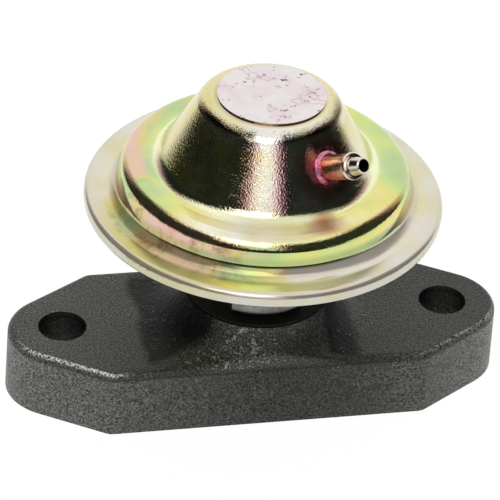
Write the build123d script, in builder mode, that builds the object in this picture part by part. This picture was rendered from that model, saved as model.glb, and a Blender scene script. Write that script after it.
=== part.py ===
from build123d import *
import os
from math import cos, radians, sin

os.makedirs("parts", exist_ok=True)

# Vacuum-operated exhaust gas recirculation valve, in millimetres.
# +Z runs up the valve stem, +X along the two mounting bolts. The origin is on the stem's axis
# in the plane of the mounting face, so every height below is measured from that face.

# ---- driving dimensions -------------------------------------------------------------------
# cast base
bolt_spacing = 84.0
bolt_hole_d = 10.3
lug_r = 12.0
base_width = 38.2
base_corner_x = 34.2
base_corner_round = 3.2
base_draft_angle = 1.4
wing_height = 15.2
casting_edge_round = 1.5
boss_d = 31.8
boss_height = 23.1
boss_blend = 9.6

# gas passages in the base
chamber_d = 24.0
roof_gap = 0.4
outlet_x = 22.0
outlet_d = 14.0
outlet_height = 12.6
passage_width = 8.0
passage_height = 3.8

# valve seat and pintle
seat_recess = 0.3
seat_height = 8.5
inlet_d = 15.0
inlet_depth = 4.7
throat_d = 14.0
seat_chamfer = 1.0
seat_gap = 0.07
pintle_d = 17.2
pintle_rim = 0.9
pintle_hub_d = 11.0
pintle_height = 2.7
pintle_nose_d = 8.4
pintle_nose = 2.0
valve_lift = 5.0

# stem and what guides and seals it
stem_d = 4.8
stem_end = 6.8
stem_collar_d = 8.4
stem_collar_height = 1.4
spigot_d = 4.0
peened_head_d = 6.4
peened_head_height = 1.2
running_gap = 0.05
seal_gap = 0.03
bush_d = 9.0
bush_length = 4.6
seal_d = 8.6
seal_height = 2.7
retainer_d = 10.0
retainer_sheet = 0.6
retainer_hole_d = 5.8
retainer_height = 3.4

# insulating gasket and bracket
gasket_d = 31.4
gasket_hole_d = 10.6
gasket_thickness = 0.6
bracket_d = 27.0
bracket_sheet = 1.2
bracket_foot_hole_d = 11.2
bracket_foot_width = 15.2
bracket_height = 13.3
window_width = 22.2
window_top = 34.0
window_round = 2.0

# rivets
foot_rivet_circle_d = 16.0
foot_rivet_angle = 58.0
foot_rivet_d = 2.5
foot_rivet_length = 4.5
foot_rivet_head_d = 3.4
foot_rivet_head_height = 1.0
shell_rivet_d = 3.0
shell_rivet_head_d = 4.8
shell_rivet_head_height = 1.0
rivet_wall_gap = 0.4
rivet_edge = 1.0
rivet_count = 4

# lower shell
shell_sheet = 0.8
shell_hole_d = 16.0
shell_floor_d = 49.0
shell_mouth_d = 59.0
shell_rim_d = 73.0
rim_gap = 0.4
shell_bend_r = 1.5
shell_floor_bend_r = 3.0
vent_d = 3.4

# cover
cover_sheet = 0.9
cover_rim_round = 1.3
hem_bottom = 44.5
hem_width = 3.6
hem_round = 0.95
wall_foot_d = 63.2
wall_foot_round = 3.0
shelf_d = 59.8
shelf_edge_round = 3.0
shelf_height = 55.2
cone_foot_d = 45.8
cone_foot_round = 3.5
cone_top_d = 28.26
cone_top_round = 3.2
cover_height = 70.65
pad_d = 22.7
pad_x = 0.45
pad_y = 0.75
pad_height = 0.35

# diaphragm, its plates and the return spring
diaphragm_thickness = 0.6
diaphragm_hang = 3.8
diaphragm_roll_d = 59.4
diaphragm_flat_d = 42.0
plate_sheet = 1.0
lower_plate_d = 39.0
lower_plate_rim = 2.0
upper_plate_d = 40.6
upper_plate_rim = 3.0
emboss_d = 16.6
emboss_height = 0.8
emboss_run = 1.0
plate_bend_r = 1.5
washer_d = 11.0
washer_thickness = 1.0
spring_wire_d = 2.0
spring_mean_d = 22.4
spring_active_turns = 4
spring_end_pitch = 2.1
spring_grind = 0.7

# vacuum nipple
nipple_angle = -60.0
nipple_tilt_angle = 31.0
nipple_share = 0.515
nipple_d = 5.3
nipple_bore_d = 2.5
nipple_body_length = 8.6
nipple_inside = 1.7
bead_d = 5.7
bead_length = 1.0
step_d = 4.6
step_length = 0.4
spout_root_d = 3.9
spout_tip_d = 3.2
nipple_length = 11.8
spout_tip_round = 0.25
collar_d = 7.0
collar_height = 0.9
fit_gap = 0.02

# ---- heights and radii worked out from them -----------------------------------------------
gasket_top = boss_height + gasket_thickness
shell_floor = gasket_top + bracket_height
shell_rim = hem_bottom + cover_sheet
diaphragm_rim = shell_rim + shell_sheet
cover_flange = diaphragm_rim + diaphragm_thickness + cover_sheet
plate_level = diaphragm_rim - diaphragm_hang
plate_top = plate_level + diaphragm_thickness + plate_sheet
washer_seat = plate_top + emboss_height
spring_top = cover_height - cover_sheet
shell_rivet_circle_d = bracket_d + shell_rivet_head_d + 2 * rivet_wall_gap
bracket_flange_d = shell_rivet_circle_d + shell_rivet_head_d + 2 * rivet_edge
vent_circle_d = bracket_flange_d + vent_d
cover_rim_d = shell_rim_d + 2 * (rim_gap + cover_sheet)
cone_slope = (cone_foot_d - cone_top_d) / 2 / (cover_height - shelf_height)
pintle_rim_height = seat_height + seat_gap + pintle_d / 2 - throat_d / 2 - seat_chamfer
pintle_top = pintle_rim_height + pintle_height
chamber_height = pintle_top + valve_lift + roof_gap

foot_rivet_places = [
    (sx * foot_rivet_circle_d / 2 * cos(radians(foot_rivet_angle)),
     sy * foot_rivet_circle_d / 2 * sin(radians(foot_rivet_angle)))
    for sx in (1, -1)
    for sy in (1, -1)
]


def sheet_section(points, radii, thickness, side):
    """Radial section of a pressed sheet: one face as a bent line, the other offset from it."""
    with BuildSketch(Plane.XZ) as section:
        with BuildLine():
            FilletPolyline(*points, radius=radii)
            offset(amount=thickness, side=side)
        make_face()
    return section.sketch


def rivet_section(shank_d, head_d, head_height, bottom, seat):
    """Half section of a dome-headed rivet whose head stands on the height called seat."""
    crown_r = (head_d**2 / 4 + head_height**2) / (2 * head_height)
    with BuildSketch(Plane.XZ) as section:
        with BuildLine():
            Polyline((0, seat + head_height), (0, bottom), (shank_d / 2, bottom), (shank_d / 2, seat))
            Line((shank_d / 2, seat), (head_d / 2, seat))
            RadiusArc((head_d / 2, seat), (0, seat + head_height), -crown_r)
        make_face()
    return section.sketch


# ---- base casting: two bolt wings, a blended boss, the gas chamber and the outlet -----------
with BuildPart() as base_casting:
    with BuildSketch() as base_plan:
        Rectangle(2 * base_corner_x, base_width)
        with GridLocations(bolt_spacing, 0, 2, 1):
            Circle(lug_r)
        make_hull()
        plan_corners = base_plan.vertices().filter_by(lambda v: abs(abs(v.Y) - base_width / 2) < 0.01)
        fillet(plan_corners, radius=base_corner_round)
    extrude(amount=boss_height, taper=base_draft_angle)
    # what is cut from around the boss leaves flat wings and the hollow blend up to the boss
    clear_x = bolt_spacing / 2 + 2 * lug_r
    clear_top = boss_height + boss_blend
    blend_start = (boss_d / 2, wing_height + boss_blend)
    blend_end = (boss_d / 2 + boss_blend, wing_height)
    with BuildSketch(Plane.XZ) as around_boss:
        with BuildLine():
            Line((boss_d / 2, clear_top), blend_start)
            RadiusArc(blend_start, blend_end, -boss_blend)
            Polyline(blend_end, (clear_x, wing_height), (clear_x, clear_top), (boss_d / 2, clear_top))
        make_face()
    revolve(axis=Axis.Z, mode=Mode.SUBTRACT)
    # the edge between the drafted sides and the top, which rises over the foot of the boss
    side_faces = base_casting.faces().filter_by(lambda f: f.bounding_box().min.Z < 0.01)
    top_edges = side_faces.edges().filter_by(lambda e: e.bounding_box().min.Z > wing_height - 0.01)
    fillet(top_edges, radius=casting_edge_round)
    # bolt holes
    with BuildSketch() as bolt_holes:
        with GridLocations(bolt_spacing, 0, 2, 1):
            Circle(bolt_hole_d / 2)
    extrude(amount=wing_height, mode=Mode.SUBTRACT)
    # gas chamber over the inlet, outlet port beside it and the passage that joins them
    with BuildSketch():
        Circle(chamber_d / 2)
    extrude(amount=chamber_height, mode=Mode.SUBTRACT)
    with BuildSketch():
        with Locations((outlet_x, 0)):
            Circle(outlet_d / 2)
    extrude(amount=outlet_height, mode=Mode.SUBTRACT)
    passage_middle = outlet_height - passage_height / 2
    with BuildSketch(Plane.YZ.offset(chamber_d / 4)):
        with Locations((0, passage_middle)):
            Rectangle(passage_width, passage_height)
    extrude(amount=outlet_x - chamber_d / 4, mode=Mode.SUBTRACT)
    # bore for the stem bush, counterbore for the seal retainer, holes for the drive rivets
    with BuildSketch(Plane.XY.offset(chamber_height)):
        Circle(bush_d / 2)
    extrude(amount=boss_height - chamber_height, mode=Mode.SUBTRACT)
    with BuildSketch(Plane.XY.offset(chamber_height + bush_length)):
        Circle(retainer_d / 2)
    extrude(amount=boss_height - chamber_height - bush_length, mode=Mode.SUBTRACT)
    with BuildSketch(Plane.XY.offset(boss_height)):
        with Locations(*foot_rivet_places):
            Circle(foot_rivet_d / 2)
    extrude(amount=-foot_rivet_length, mode=Mode.SUBTRACT)
base_casting.part.label = "base_casting"
export_step(base_casting.part, "parts/base_casting.step")

# ---- seat insert: pressed into the chamber from below, with the throat and its seat ---------
with BuildPart() as seat_insert:
    with BuildSketch(Plane.XZ):
        with BuildLine():
            Polyline(
                (inlet_d / 2, seat_recess),
                (chamber_d / 2 - fit_gap, seat_recess),
                (chamber_d / 2 - fit_gap, seat_height),
                (throat_d / 2 + seat_chamfer, seat_height),
                (throat_d / 2, seat_height - seat_chamfer),
                (throat_d / 2, seat_recess + inlet_depth),
                (inlet_d / 2, seat_recess + inlet_depth),
                close=True,
            )
        make_face()
    revolve(axis=Axis.Z)
seat_insert.part.label = "seat_insert"
export_step(seat_insert.part, "parts/seat_insert.step")

# ---- pintle: its conical face closes on the seat, its nose meters the flow through the throat
with BuildPart() as pintle:
    with BuildSketch(Plane.XZ):
        with BuildLine():
            Polyline(
                (stem_d / 2 + fit_gap, pintle_top),
                (pintle_hub_d / 2, pintle_top),
                (pintle_d / 2, pintle_rim_height + pintle_rim),
                (pintle_d / 2, pintle_rim_height),
                (throat_d / 2 - seat_chamfer / 2, seat_height + seat_gap - 1.5 * seat_chamfer),
                (pintle_nose_d / 2, seat_height - 1.5 * seat_chamfer - pintle_nose),
                (0, seat_height - 1.5 * seat_chamfer - pintle_nose),
                (0, stem_end),
                (stem_d / 2 + fit_gap, stem_end),
                close=True,
            )
        make_face()
    revolve(axis=Axis.Z)
pintle.part.label = "pintle"
export_step(pintle.part, "parts/pintle.step")

# ---- stem: shoulder collar under the plates, spigot through them and a peened head ----------
with BuildPart() as stem:
    collar_top = plate_level - plate_sheet
    head_seat = washer_seat + washer_thickness
    with BuildSketch(Plane.XZ):
        with BuildLine():
            Polyline(
                (0, head_seat),
                (0, stem_end),
                (stem_d / 2, stem_end),
                (stem_d / 2, collar_top - stem_collar_height),
                (stem_collar_d / 2, collar_top - stem_collar_height / 2),
                (stem_collar_d / 2, collar_top),
                (spigot_d / 2, collar_top),
                (spigot_d / 2, head_seat),
                close=True,
            )
        make_face()
    revolve(axis=Axis.Z)
    revolve(rivet_section(spigot_d, peened_head_d, peened_head_height, collar_top, head_seat), axis=Axis.Z)
stem.part.label = "stem"
export_step(stem.part, "parts/stem.step")

# ---- stem bush, stem seal and the pressed cap that holds the seal ---------------------------
with BuildPart() as stem_bush:
    with BuildSketch(Plane.XY.offset(chamber_height)):
        Circle(bush_d / 2 - fit_gap)
        Circle(stem_d / 2 + running_gap, mode=Mode.SUBTRACT)
    extrude(amount=bush_length)
stem_bush.part.label = "stem_bush"
export_step(stem_bush.part, "parts/stem_bush.step")

seal_floor = chamber_height + bush_length
with BuildPart() as stem_seal:
    with BuildSketch(Plane.XY.offset(seal_floor)):
        Circle(seal_d / 2)
        Circle(stem_d / 2 + seal_gap, mode=Mode.SUBTRACT)
    extrude(amount=seal_height)
stem_seal.part.label = "stem_seal"
export_step(stem_seal.part, "parts/stem_seal.step")

with BuildPart() as seal_retainer:
    retainer_r = retainer_d / 2 - fit_gap
    retainer_top = seal_floor + retainer_height
    retainer_line = [
        (retainer_hole_d / 2, retainer_top),
        (retainer_r, retainer_top),
        (retainer_r, seal_floor),
    ]
    revolve(sheet_section(retainer_line, [1.5 * retainer_sheet], retainer_sheet, Side.RIGHT), axis=Axis.Z)
seal_retainer.part.label = "seal_retainer"
export_step(seal_retainer.part, "parts/seal_retainer.step")

# ---- insulating gasket between the hot casting and the bracket ------------------------------
with BuildPart() as insulator_gasket:
    with BuildSketch(Plane.XY.offset(boss_height)):
        Circle(gasket_d / 2)
        Circle(gasket_hole_d / 2, mode=Mode.SUBTRACT)
        with Locations(*foot_rivet_places):
            Circle(foot_rivet_d / 2, mode=Mode.SUBTRACT)
    extrude(amount=gasket_thickness)
insulator_gasket.part.label = "insulator_gasket"
export_step(insulator_gasket.part, "parts/insulator_gasket.step")

# ---- bracket: one pressed sleeve, turned in at its foot, turned out at its top, with windows -
with BuildPart() as bracket:
    bracket_line = [
        (bracket_foot_hole_d / 2, gasket_top),
        (bracket_d / 2, gasket_top),
        (bracket_d / 2, shell_floor - bracket_sheet),
        (bracket_flange_d / 2, shell_floor - bracket_sheet),
    ]
    bracket_bends = [1.3 * bracket_sheet, bracket_sheet / 2]
    revolve(sheet_section(bracket_line, bracket_bends, bracket_sheet, Side.LEFT), axis=Axis.Z)
    # the two windows leave a leg at the front and one at the back
    window_height = window_top - gasket_top - bracket_sheet
    window_middle = gasket_top + bracket_sheet + window_height / 2
    with BuildSketch(Plane.YZ):
        with Locations((0, window_middle)):
            RectangleRounded(window_width, window_height, window_round)
        with Locations((0, window_middle - window_height / 4)):
            Rectangle(window_width, window_height / 2)
    extrude(amount=bracket_d, both=True, mode=Mode.SUBTRACT)
    with BuildSketch(Plane.XY.offset(gasket_top)):
        Rectangle(2 * bracket_d, window_width)
        Rectangle(bracket_foot_width, window_width, mode=Mode.SUBTRACT)
    extrude(amount=2 * bracket_sheet, mode=Mode.SUBTRACT)
    with BuildSketch(Plane.XY.offset(gasket_top)):
        with Locations(*foot_rivet_places):
            Circle(foot_rivet_d / 2)
    extrude(amount=bracket_sheet, mode=Mode.SUBTRACT)
    with BuildSketch(Plane.XY.offset(shell_floor - bracket_sheet)):
        with PolarLocations(shell_rivet_circle_d / 2, rivet_count):
            Circle(shell_rivet_d / 2)
    extrude(amount=bracket_sheet, mode=Mode.SUBTRACT)
bracket.part.label = "bracket"
export_step(bracket.part, "parts/bracket.step")

# ---- drive rivets that hold the bracket's foot to the boss ----------------------------------
foot_top = gasket_top + bracket_sheet
with BuildPart() as one_foot_rivet:
    foot_rivet_end = boss_height - foot_rivet_length
    revolve(
        rivet_section(
            foot_rivet_d - 2 * fit_gap, foot_rivet_head_d, foot_rivet_head_height, foot_rivet_end, foot_top
        ),
        axis=Axis.Z,
    )
with BuildPart() as bracket_rivets:
    with Locations(*foot_rivet_places):
        add(one_foot_rivet.part)
bracket_rivets.part.label = "bracket_rivets"
export_step(bracket_rivets.part, "parts/bracket_rivets.step")

# ---- lower shell: vented dish that carries the diaphragm's rim ------------------------------
with BuildPart() as lower_shell:
    shell_line = [
        (shell_hole_d / 2, shell_floor),
        (shell_floor_d / 2, shell_floor),
        (shell_mouth_d / 2, shell_rim),
        (shell_rim_d / 2, shell_rim),
    ]
    revolve(
        sheet_section(shell_line, [shell_floor_bend_r, shell_bend_r], shell_sheet, Side.LEFT),
        axis=Axis.Z,
    )
    with BuildSketch(Plane.XY.offset(shell_floor)):
        with PolarLocations(shell_rivet_circle_d / 2, rivet_count):
            Circle(shell_rivet_d / 2)
        with PolarLocations(vent_circle_d / 2, rivet_count, start_angle=180 / rivet_count):
            Circle(vent_d / 2)
    extrude(amount=shell_sheet, mode=Mode.SUBTRACT)
lower_shell.part.label = "lower_shell"
export_step(lower_shell.part, "parts/lower_shell.step")

# ---- rivets that hold the lower shell to the bracket, a dome on each side --------------------
with BuildPart() as one_shell_rivet:
    rivet_middle = shell_floor
    shell_rivet_shank = shell_rivet_d - 2 * fit_gap
    upper_seat = shell_floor + shell_sheet
    lower_seat = shell_floor - bracket_sheet
    revolve(
        rivet_section(
            shell_rivet_shank, shell_rivet_head_d, shell_rivet_head_height, rivet_middle, upper_seat
        ),
        axis=Axis.Z,
    )
    lower_half = rivet_section(
        shell_rivet_shank, shell_rivet_head_d, shell_rivet_head_height, -rivet_middle, -lower_seat
    )
    revolve(mirror(lower_half, about=Plane.XY, mode=Mode.PRIVATE), axis=Axis.Z)
with BuildPart() as shell_rivets:
    with PolarLocations(shell_rivet_circle_d / 2, rivet_count):
        add(one_shell_rivet.part)
shell_rivets.part.label = "shell_rivets"
export_step(shell_rivets.part, "parts/shell_rivets.step")

# ---- diaphragm: flat under the plates, a hanging roll, and a rim clamped by the rolled hem ---
with BuildPart() as diaphragm:
    diaphragm_line = [
        (spigot_d / 2 + fit_gap, plate_level),
        (diaphragm_flat_d / 2, plate_level),
        (diaphragm_roll_d / 2, diaphragm_rim),
        (shell_rim_d / 2, diaphragm_rim),
    ]
    diaphragm_bends = [4 * diaphragm_thickness, 3 * diaphragm_thickness]
    revolve(sheet_section(diaphragm_line, diaphragm_bends, diaphragm_thickness, Side.LEFT), axis=Axis.Z)
diaphragm.part.label = "diaphragm"
export_step(diaphragm.part, "parts/diaphragm.step")

# ---- diaphragm plates: their rims turn away from the rubber ---------------------------------
with BuildPart() as diaphragm_plate_lower:
    lower_plate_line = [
        (spigot_d / 2 + fit_gap, plate_level),
        (lower_plate_d / 2, plate_level),
        (lower_plate_d / 2, plate_level - lower_plate_rim),
    ]
    revolve(sheet_section(lower_plate_line, [plate_bend_r], plate_sheet, Side.RIGHT), axis=Axis.Z)
diaphragm_plate_lower.part.label = "diaphragm_plate_lower"
export_step(diaphragm_plate_lower.part, "parts/diaphragm_plate_lower.step")

with BuildPart() as diaphragm_plate_upper:
    plate_under = plate_level + diaphragm_thickness
    upper_plate_line = [
        (spigot_d / 2 + fit_gap, plate_under + emboss_height),
        (emboss_d / 2, plate_under + emboss_height),
        (emboss_d / 2 + emboss_run, plate_under),
        (upper_plate_d / 2, plate_under),
        (upper_plate_d / 2, plate_under + upper_plate_rim),
    ]
    upper_plate_bends = [0.8 * plate_sheet, 1.2 * plate_sheet, plate_bend_r]
    revolve(sheet_section(upper_plate_line, upper_plate_bends, plate_sheet, Side.LEFT), axis=Axis.Z)
diaphragm_plate_upper.part.label = "diaphragm_plate_upper"
export_step(diaphragm_plate_upper.part, "parts/diaphragm_plate_upper.step")

with BuildPart() as stem_washer:
    with BuildSketch(Plane.XY.offset(washer_seat)):
        Circle(washer_d / 2)
        Circle(spigot_d / 2 + fit_gap, mode=Mode.SUBTRACT)
    extrude(amount=washer_thickness)
stem_washer.part.label = "stem_washer"
export_step(stem_washer.part, "parts/stem_washer.step")

# ---- return spring: closed end turns, ground flat on the plate and under the cover -----------
with BuildPart() as return_spring:
    spring_start = plate_top + spring_wire_d / 2 - spring_grind
    spring_finish = spring_top - spring_wire_d / 2 + spring_grind
    active_height = spring_finish - spring_start - 2 * spring_end_pitch
    spring_runs = [
        (spring_start, spring_end_pitch, spring_end_pitch),
        (spring_start + spring_end_pitch, active_height, active_height / spring_active_turns),
        (spring_finish - spring_end_pitch, spring_end_pitch, spring_end_pitch),
    ]
    for run_start, run_height, run_pitch in spring_runs:
        with BuildLine() as spring_line:
            Helix(run_pitch, run_height, spring_mean_d / 2, center=(0, 0, run_start))
        with BuildSketch(Plane(origin=spring_line.line @ 0, z_dir=spring_line.line % 0)):
            Circle(spring_wire_d / 2)
        sweep(path=spring_line.line, is_frenet=True)
    # grinding flat leaves only what stands between the plate and the cover
    with BuildSketch(Plane.XY.offset(plate_top)):
        Circle(spring_mean_d / 2 + spring_wire_d)
    extrude(amount=spring_top - plate_top, mode=Mode.INTERSECT)
return_spring.part.label = "return_spring"
export_step(return_spring.part, "parts/return_spring.step")

# ---- cover: drawn dome with a shelf, a flange and a hem rolled under the lower shell ---------
nipple_height = shelf_height + nipple_share * (cover_height - shelf_height)
nipple_r = cone_top_d / 2 + cone_slope * (cover_height - nipple_height)
nipple_root = (
    nipple_r * cos(radians(nipple_angle)),
    nipple_r * sin(radians(nipple_angle)),
    nipple_height,
)
nipple_side = (-sin(radians(nipple_angle)), cos(radians(nipple_angle)), 0)
nipple_out = (
    cos(radians(nipple_tilt_angle)) * cos(radians(nipple_angle)),
    cos(radians(nipple_tilt_angle)) * sin(radians(nipple_angle)),
    sin(radians(nipple_tilt_angle)),
)
nipple_cross = Vector(*nipple_side).cross(Vector(*nipple_out))
nipple_base = Plane(origin=nipple_root, x_dir=nipple_side, z_dir=nipple_out)
nipple_half = Plane(origin=nipple_root, x_dir=nipple_side, z_dir=nipple_cross)
nipple_axis = Axis(nipple_root, nipple_out)

with BuildPart() as cover:
    cover_line = [
        (0, cover_height),
        (cone_top_d / 2, cover_height),
        (cone_foot_d / 2, shelf_height),
        (shelf_d / 2, shelf_height),
        (wall_foot_d / 2, cover_flange),
        (cover_rim_d / 2, cover_flange),
        (cover_rim_d / 2, hem_bottom),
        (cover_rim_d / 2 - hem_width, hem_bottom),
    ]
    cover_bends = [
        cone_top_round, cone_foot_round, shelf_edge_round, wall_foot_round, cover_rim_round, hem_round
    ]
    revolve(sheet_section(cover_line, cover_bends, cover_sheet, Side.RIGHT), axis=Axis.Z)
    with BuildSketch(Plane.XY.offset(cover_height)):
        with Locations((pad_x, pad_y)):
            Circle(pad_d / 2)
    extrude(amount=pad_height)
    with BuildSketch(nipple_base.offset(-2 * nipple_inside)):
        Circle(nipple_d / 2 + fit_gap)
    extrude(amount=4 * nipple_inside, mode=Mode.SUBTRACT)
cover.part.label = "cover"
export_step(cover.part, "parts/cover.step")

# ---- vacuum nipple: stepped hose spout, and the brazed collar at its root --------------------
with BuildPart() as vacuum_nipple:
    with BuildSketch(nipple_half):
        with BuildLine():
            Polyline(
                (nipple_bore_d / 2, -nipple_inside),
                (nipple_d / 2, -nipple_inside),
                (nipple_d / 2, nipple_body_length - bead_length),
                (bead_d / 2, nipple_body_length - 0.7 * bead_length),
                (bead_d / 2, nipple_body_length - 0.3 * bead_length),
                (nipple_d / 2, nipple_body_length),
                (step_d / 2, nipple_body_length),
                (step_d / 2, nipple_body_length + step_length),
                (spout_root_d / 2, nipple_body_length + step_length),
                (spout_tip_d / 2, nipple_length - spout_tip_round),
                (spout_tip_d / 2 - spout_tip_round, nipple_length),
                (nipple_bore_d / 2, nipple_length),
                close=True,
            )
        make_face()
    revolve(axis=nipple_axis)
vacuum_nipple.part.label = "vacuum_nipple"
export_step(vacuum_nipple.part, "parts/vacuum_nipple.step")

with BuildPart() as nipple_collar:
    with BuildSketch(nipple_half):
        with BuildLine():
            Polyline(
                (nipple_d / 2 + fit_gap, -cover_sheet),
                (collar_d / 2, -cover_sheet),
                (collar_d / 2, collar_height / 3),
                (nipple_d / 2 + collar_height / 3, collar_height),
                (nipple_d / 2 + fit_gap, collar_height),
                close=True,
            )
        make_face()
    revolve(axis=nipple_axis)
    with BuildSketch(Plane.XZ):
        Polygon(
            (0, shelf_height),
            (cone_foot_d / 2, shelf_height),
            (cone_top_d / 2, cover_height),
            (0, cover_height),
            align=None,
        )
    revolve(axis=Axis.Z, mode=Mode.SUBTRACT)
nipple_collar.part.label = "nipple_collar"
export_step(nipple_collar.part, "parts/nipple_collar.step")
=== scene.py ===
import bpy
import bmesh
from math import cos, pi, radians, sin
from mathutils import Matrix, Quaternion, Vector


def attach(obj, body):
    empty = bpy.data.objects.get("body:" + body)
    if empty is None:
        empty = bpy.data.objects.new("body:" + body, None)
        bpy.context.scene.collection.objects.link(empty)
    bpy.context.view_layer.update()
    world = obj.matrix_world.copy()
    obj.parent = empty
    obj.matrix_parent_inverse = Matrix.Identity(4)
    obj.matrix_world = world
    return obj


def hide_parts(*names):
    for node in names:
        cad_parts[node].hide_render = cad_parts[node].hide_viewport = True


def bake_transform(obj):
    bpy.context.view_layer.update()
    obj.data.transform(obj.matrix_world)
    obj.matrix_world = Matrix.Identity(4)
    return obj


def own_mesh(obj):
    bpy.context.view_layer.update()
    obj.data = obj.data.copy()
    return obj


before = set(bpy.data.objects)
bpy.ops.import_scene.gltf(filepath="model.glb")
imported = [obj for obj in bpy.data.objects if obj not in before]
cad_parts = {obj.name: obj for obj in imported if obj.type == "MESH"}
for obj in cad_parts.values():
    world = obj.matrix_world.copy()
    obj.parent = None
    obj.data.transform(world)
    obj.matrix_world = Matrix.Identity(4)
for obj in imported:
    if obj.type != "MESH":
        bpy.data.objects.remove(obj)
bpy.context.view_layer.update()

# ---- base casting ---------------------------------------------------------------------------
# Grey iron, cast in sand and left bare: a grainy skin with bright specks. The upper edge at the front is worn
# and carries a painted highlight; painted shade darkens the flanks at the foot of the boss, and painted light
# and shade make the ends lighter than the middle.


def colour(code):
    """Linear colour of a six-digit hex code."""
    parts = [int(code[i:i + 2], 16) / 255 for i in (0, 2, 4)]
    return tuple(p / 12.92 if p < 0.04 else ((p + 0.055) / 1.055) ** 2.4 for p in parts) + (1.0,)


def new_finish(name, **sockets):
    """A node material with the shader's own sockets set to constants."""
    finish = bpy.data.materials.new(name)
    finish.use_nodes = True
    shader = finish.node_tree.nodes["Principled BSDF"]
    for socket, value in sockets.items():
        shader.inputs[socket.replace("_", " ")].default_value = value
    return finish


def put(finish, kind, feeds, **settings):
    """Adds a node; each feed is a number, a colour or another node's output."""
    node = finish.node_tree.nodes.new("ShaderNode" + kind)
    for name, value in settings.items():
        setattr(node, name, value)
    for socket, value in feeds.items():
        if isinstance(value, bpy.types.NodeSocket):
            finish.node_tree.links.new(value, node.inputs[socket])
        else:
            node.inputs[socket].default_value = value
    return node.outputs[0]


def place_on(finish):
    return finish.node_tree.nodes.new("ShaderNodeTexCoord").outputs["Object"]


def axes_of(finish, place):
    parts = finish.node_tree.nodes.new("ShaderNodeSeparateXYZ")
    finish.node_tree.links.new(place, parts.inputs[0])
    return parts.outputs


def reach(finish, place):
    """Distance from the origin."""
    put(finish, "VectorMath", {0: place}, operation="LENGTH")
    return finish.node_tree.nodes[-1].outputs["Value"]


def sums(finish, how, first, second=0.0):
    """One step of arithmetic."""
    return put(finish, "Math", {0: first, 1: second}, operation=how)


def product(finish, *factors):
    """Multiplies values one after another."""
    result = factors[0]
    for factor in factors[1:]:
        result = sums(finish, "MULTIPLY", result, factor)
    return result


def apart(finish, first, second):
    """How far two values are from each other."""
    return sums(finish, "ABSOLUTE", sums(finish, "SUBTRACT", first, second))


def off_axis(finish, x, y):
    """Distance from an upright axis."""
    return sums(finish, "SQRT", sums(finish, "ADD", product(finish, x, x), product(finish, y, y)))


def grain(finish, place, scale, detail=2.0, roughness=0.5):
    feeds = {"Vector": place, "Scale": scale, "Detail": detail, "Roughness": roughness}
    return put(finish, "TexNoise", feeds)


def between(finish, value, low, high, start=0.0, stop=1.0):
    """Maps value from low..high onto start..stop, held at the ends."""
    feeds = {"Value": value, "From Min": low, "From Max": high, "To Min": start, "To Max": stop}
    return put(finish, "MapRange", feeds)


def band(finish, value, start, full, fade, end):
    """1 where value lies between full and fade, and 0 outside start and end."""
    return product(finish, between(finish, value, start, full), between(finish, value, end, fade))


def over(finish, amount, under, top, how="MIX"):
    """Lays one colour on another."""
    mix = finish.node_tree.nodes.new("ShaderNodeMix")
    mix.data_type = "RGBA"
    mix.blend_type = how
    for socket, value in ((0, amount), (6, under), (7, top)):
        if isinstance(value, bpy.types.NodeSocket):
            finish.node_tree.links.new(value, mix.inputs[socket])
        else:
            mix.inputs[socket].default_value = value
    return mix.outputs[2]


def relief(finish, height, depth):
    return put(finish, "Bump", {"Strength": 1.0, "Distance": depth, "Height": height})


def coat(finish, **feeds):
    """Joins node outputs to the shader's sockets."""
    shader = finish.node_tree.nodes["Principled BSDF"]
    for socket, output in feeds.items():
        finish.node_tree.links.new(output, shader.inputs[socket.replace("_", " ")])


def dress(node, finish):
    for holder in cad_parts[node].material_slots:
        holder.material = finish


HOLE_OFFSET = 0.042
iron = new_finish("bare_cast_iron", Metallic=0.75)
at = place_on(iron)
x, y, z = axes_of(iron, at)
radius = off_axis(iron, x, y)
fine = grain(iron, at, 2300, 2.0, 0.6)
coarse = grain(iron, at, 650, 3.0, 0.6)
broad = grain(iron, at, 70, 2.0)
on_top = between(iron, z, 0.0148, 0.01515)
skin = over(iron, between(iron, fine, 0.34, 0.66), colour("262723"), colour("757873"))
skin = over(iron, between(iron, broad, 0.35, 0.7, 0.0, 0.4), skin, colour("484a43"))
# painted light and shade: the ends of the sides lighter, the middle of the sides darker, and the top darker
# towards the right
right_end_light = product(iron, sums(iron, "POWER", between(iron, x, 0.004, 0.052), 2.0), 1.45)
side_light_and_shade = sums(iron, "ADD", between(iron, x, -0.052, -0.004, 1.7, 0.55), right_end_light)
side_light_and_shade = product(iron, side_light_and_shade, sums(iron, "SUBTRACT", 1.0, on_top))
top_shade = product(iron, between(iron, x, -0.04, 0.04, 0.94, 0.66), on_top)
tone = sums(iron, "ADD", side_light_and_shade, top_shade)
skin = put(iron, "VectorMath", {0: skin, "Scale": tone}, operation="SCALE")
# painted shade darkens the walls of the bolt holes
from_hole = off_axis(iron, sums(iron, "SUBTRACT", sums(iron, "ABSOLUTE", x), HOLE_OFFSET), y)
skin = over(iron, between(iron, from_hole, 0.0053, 0.00518, 0.0, 0.7), skin, colour("141512"))
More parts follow.
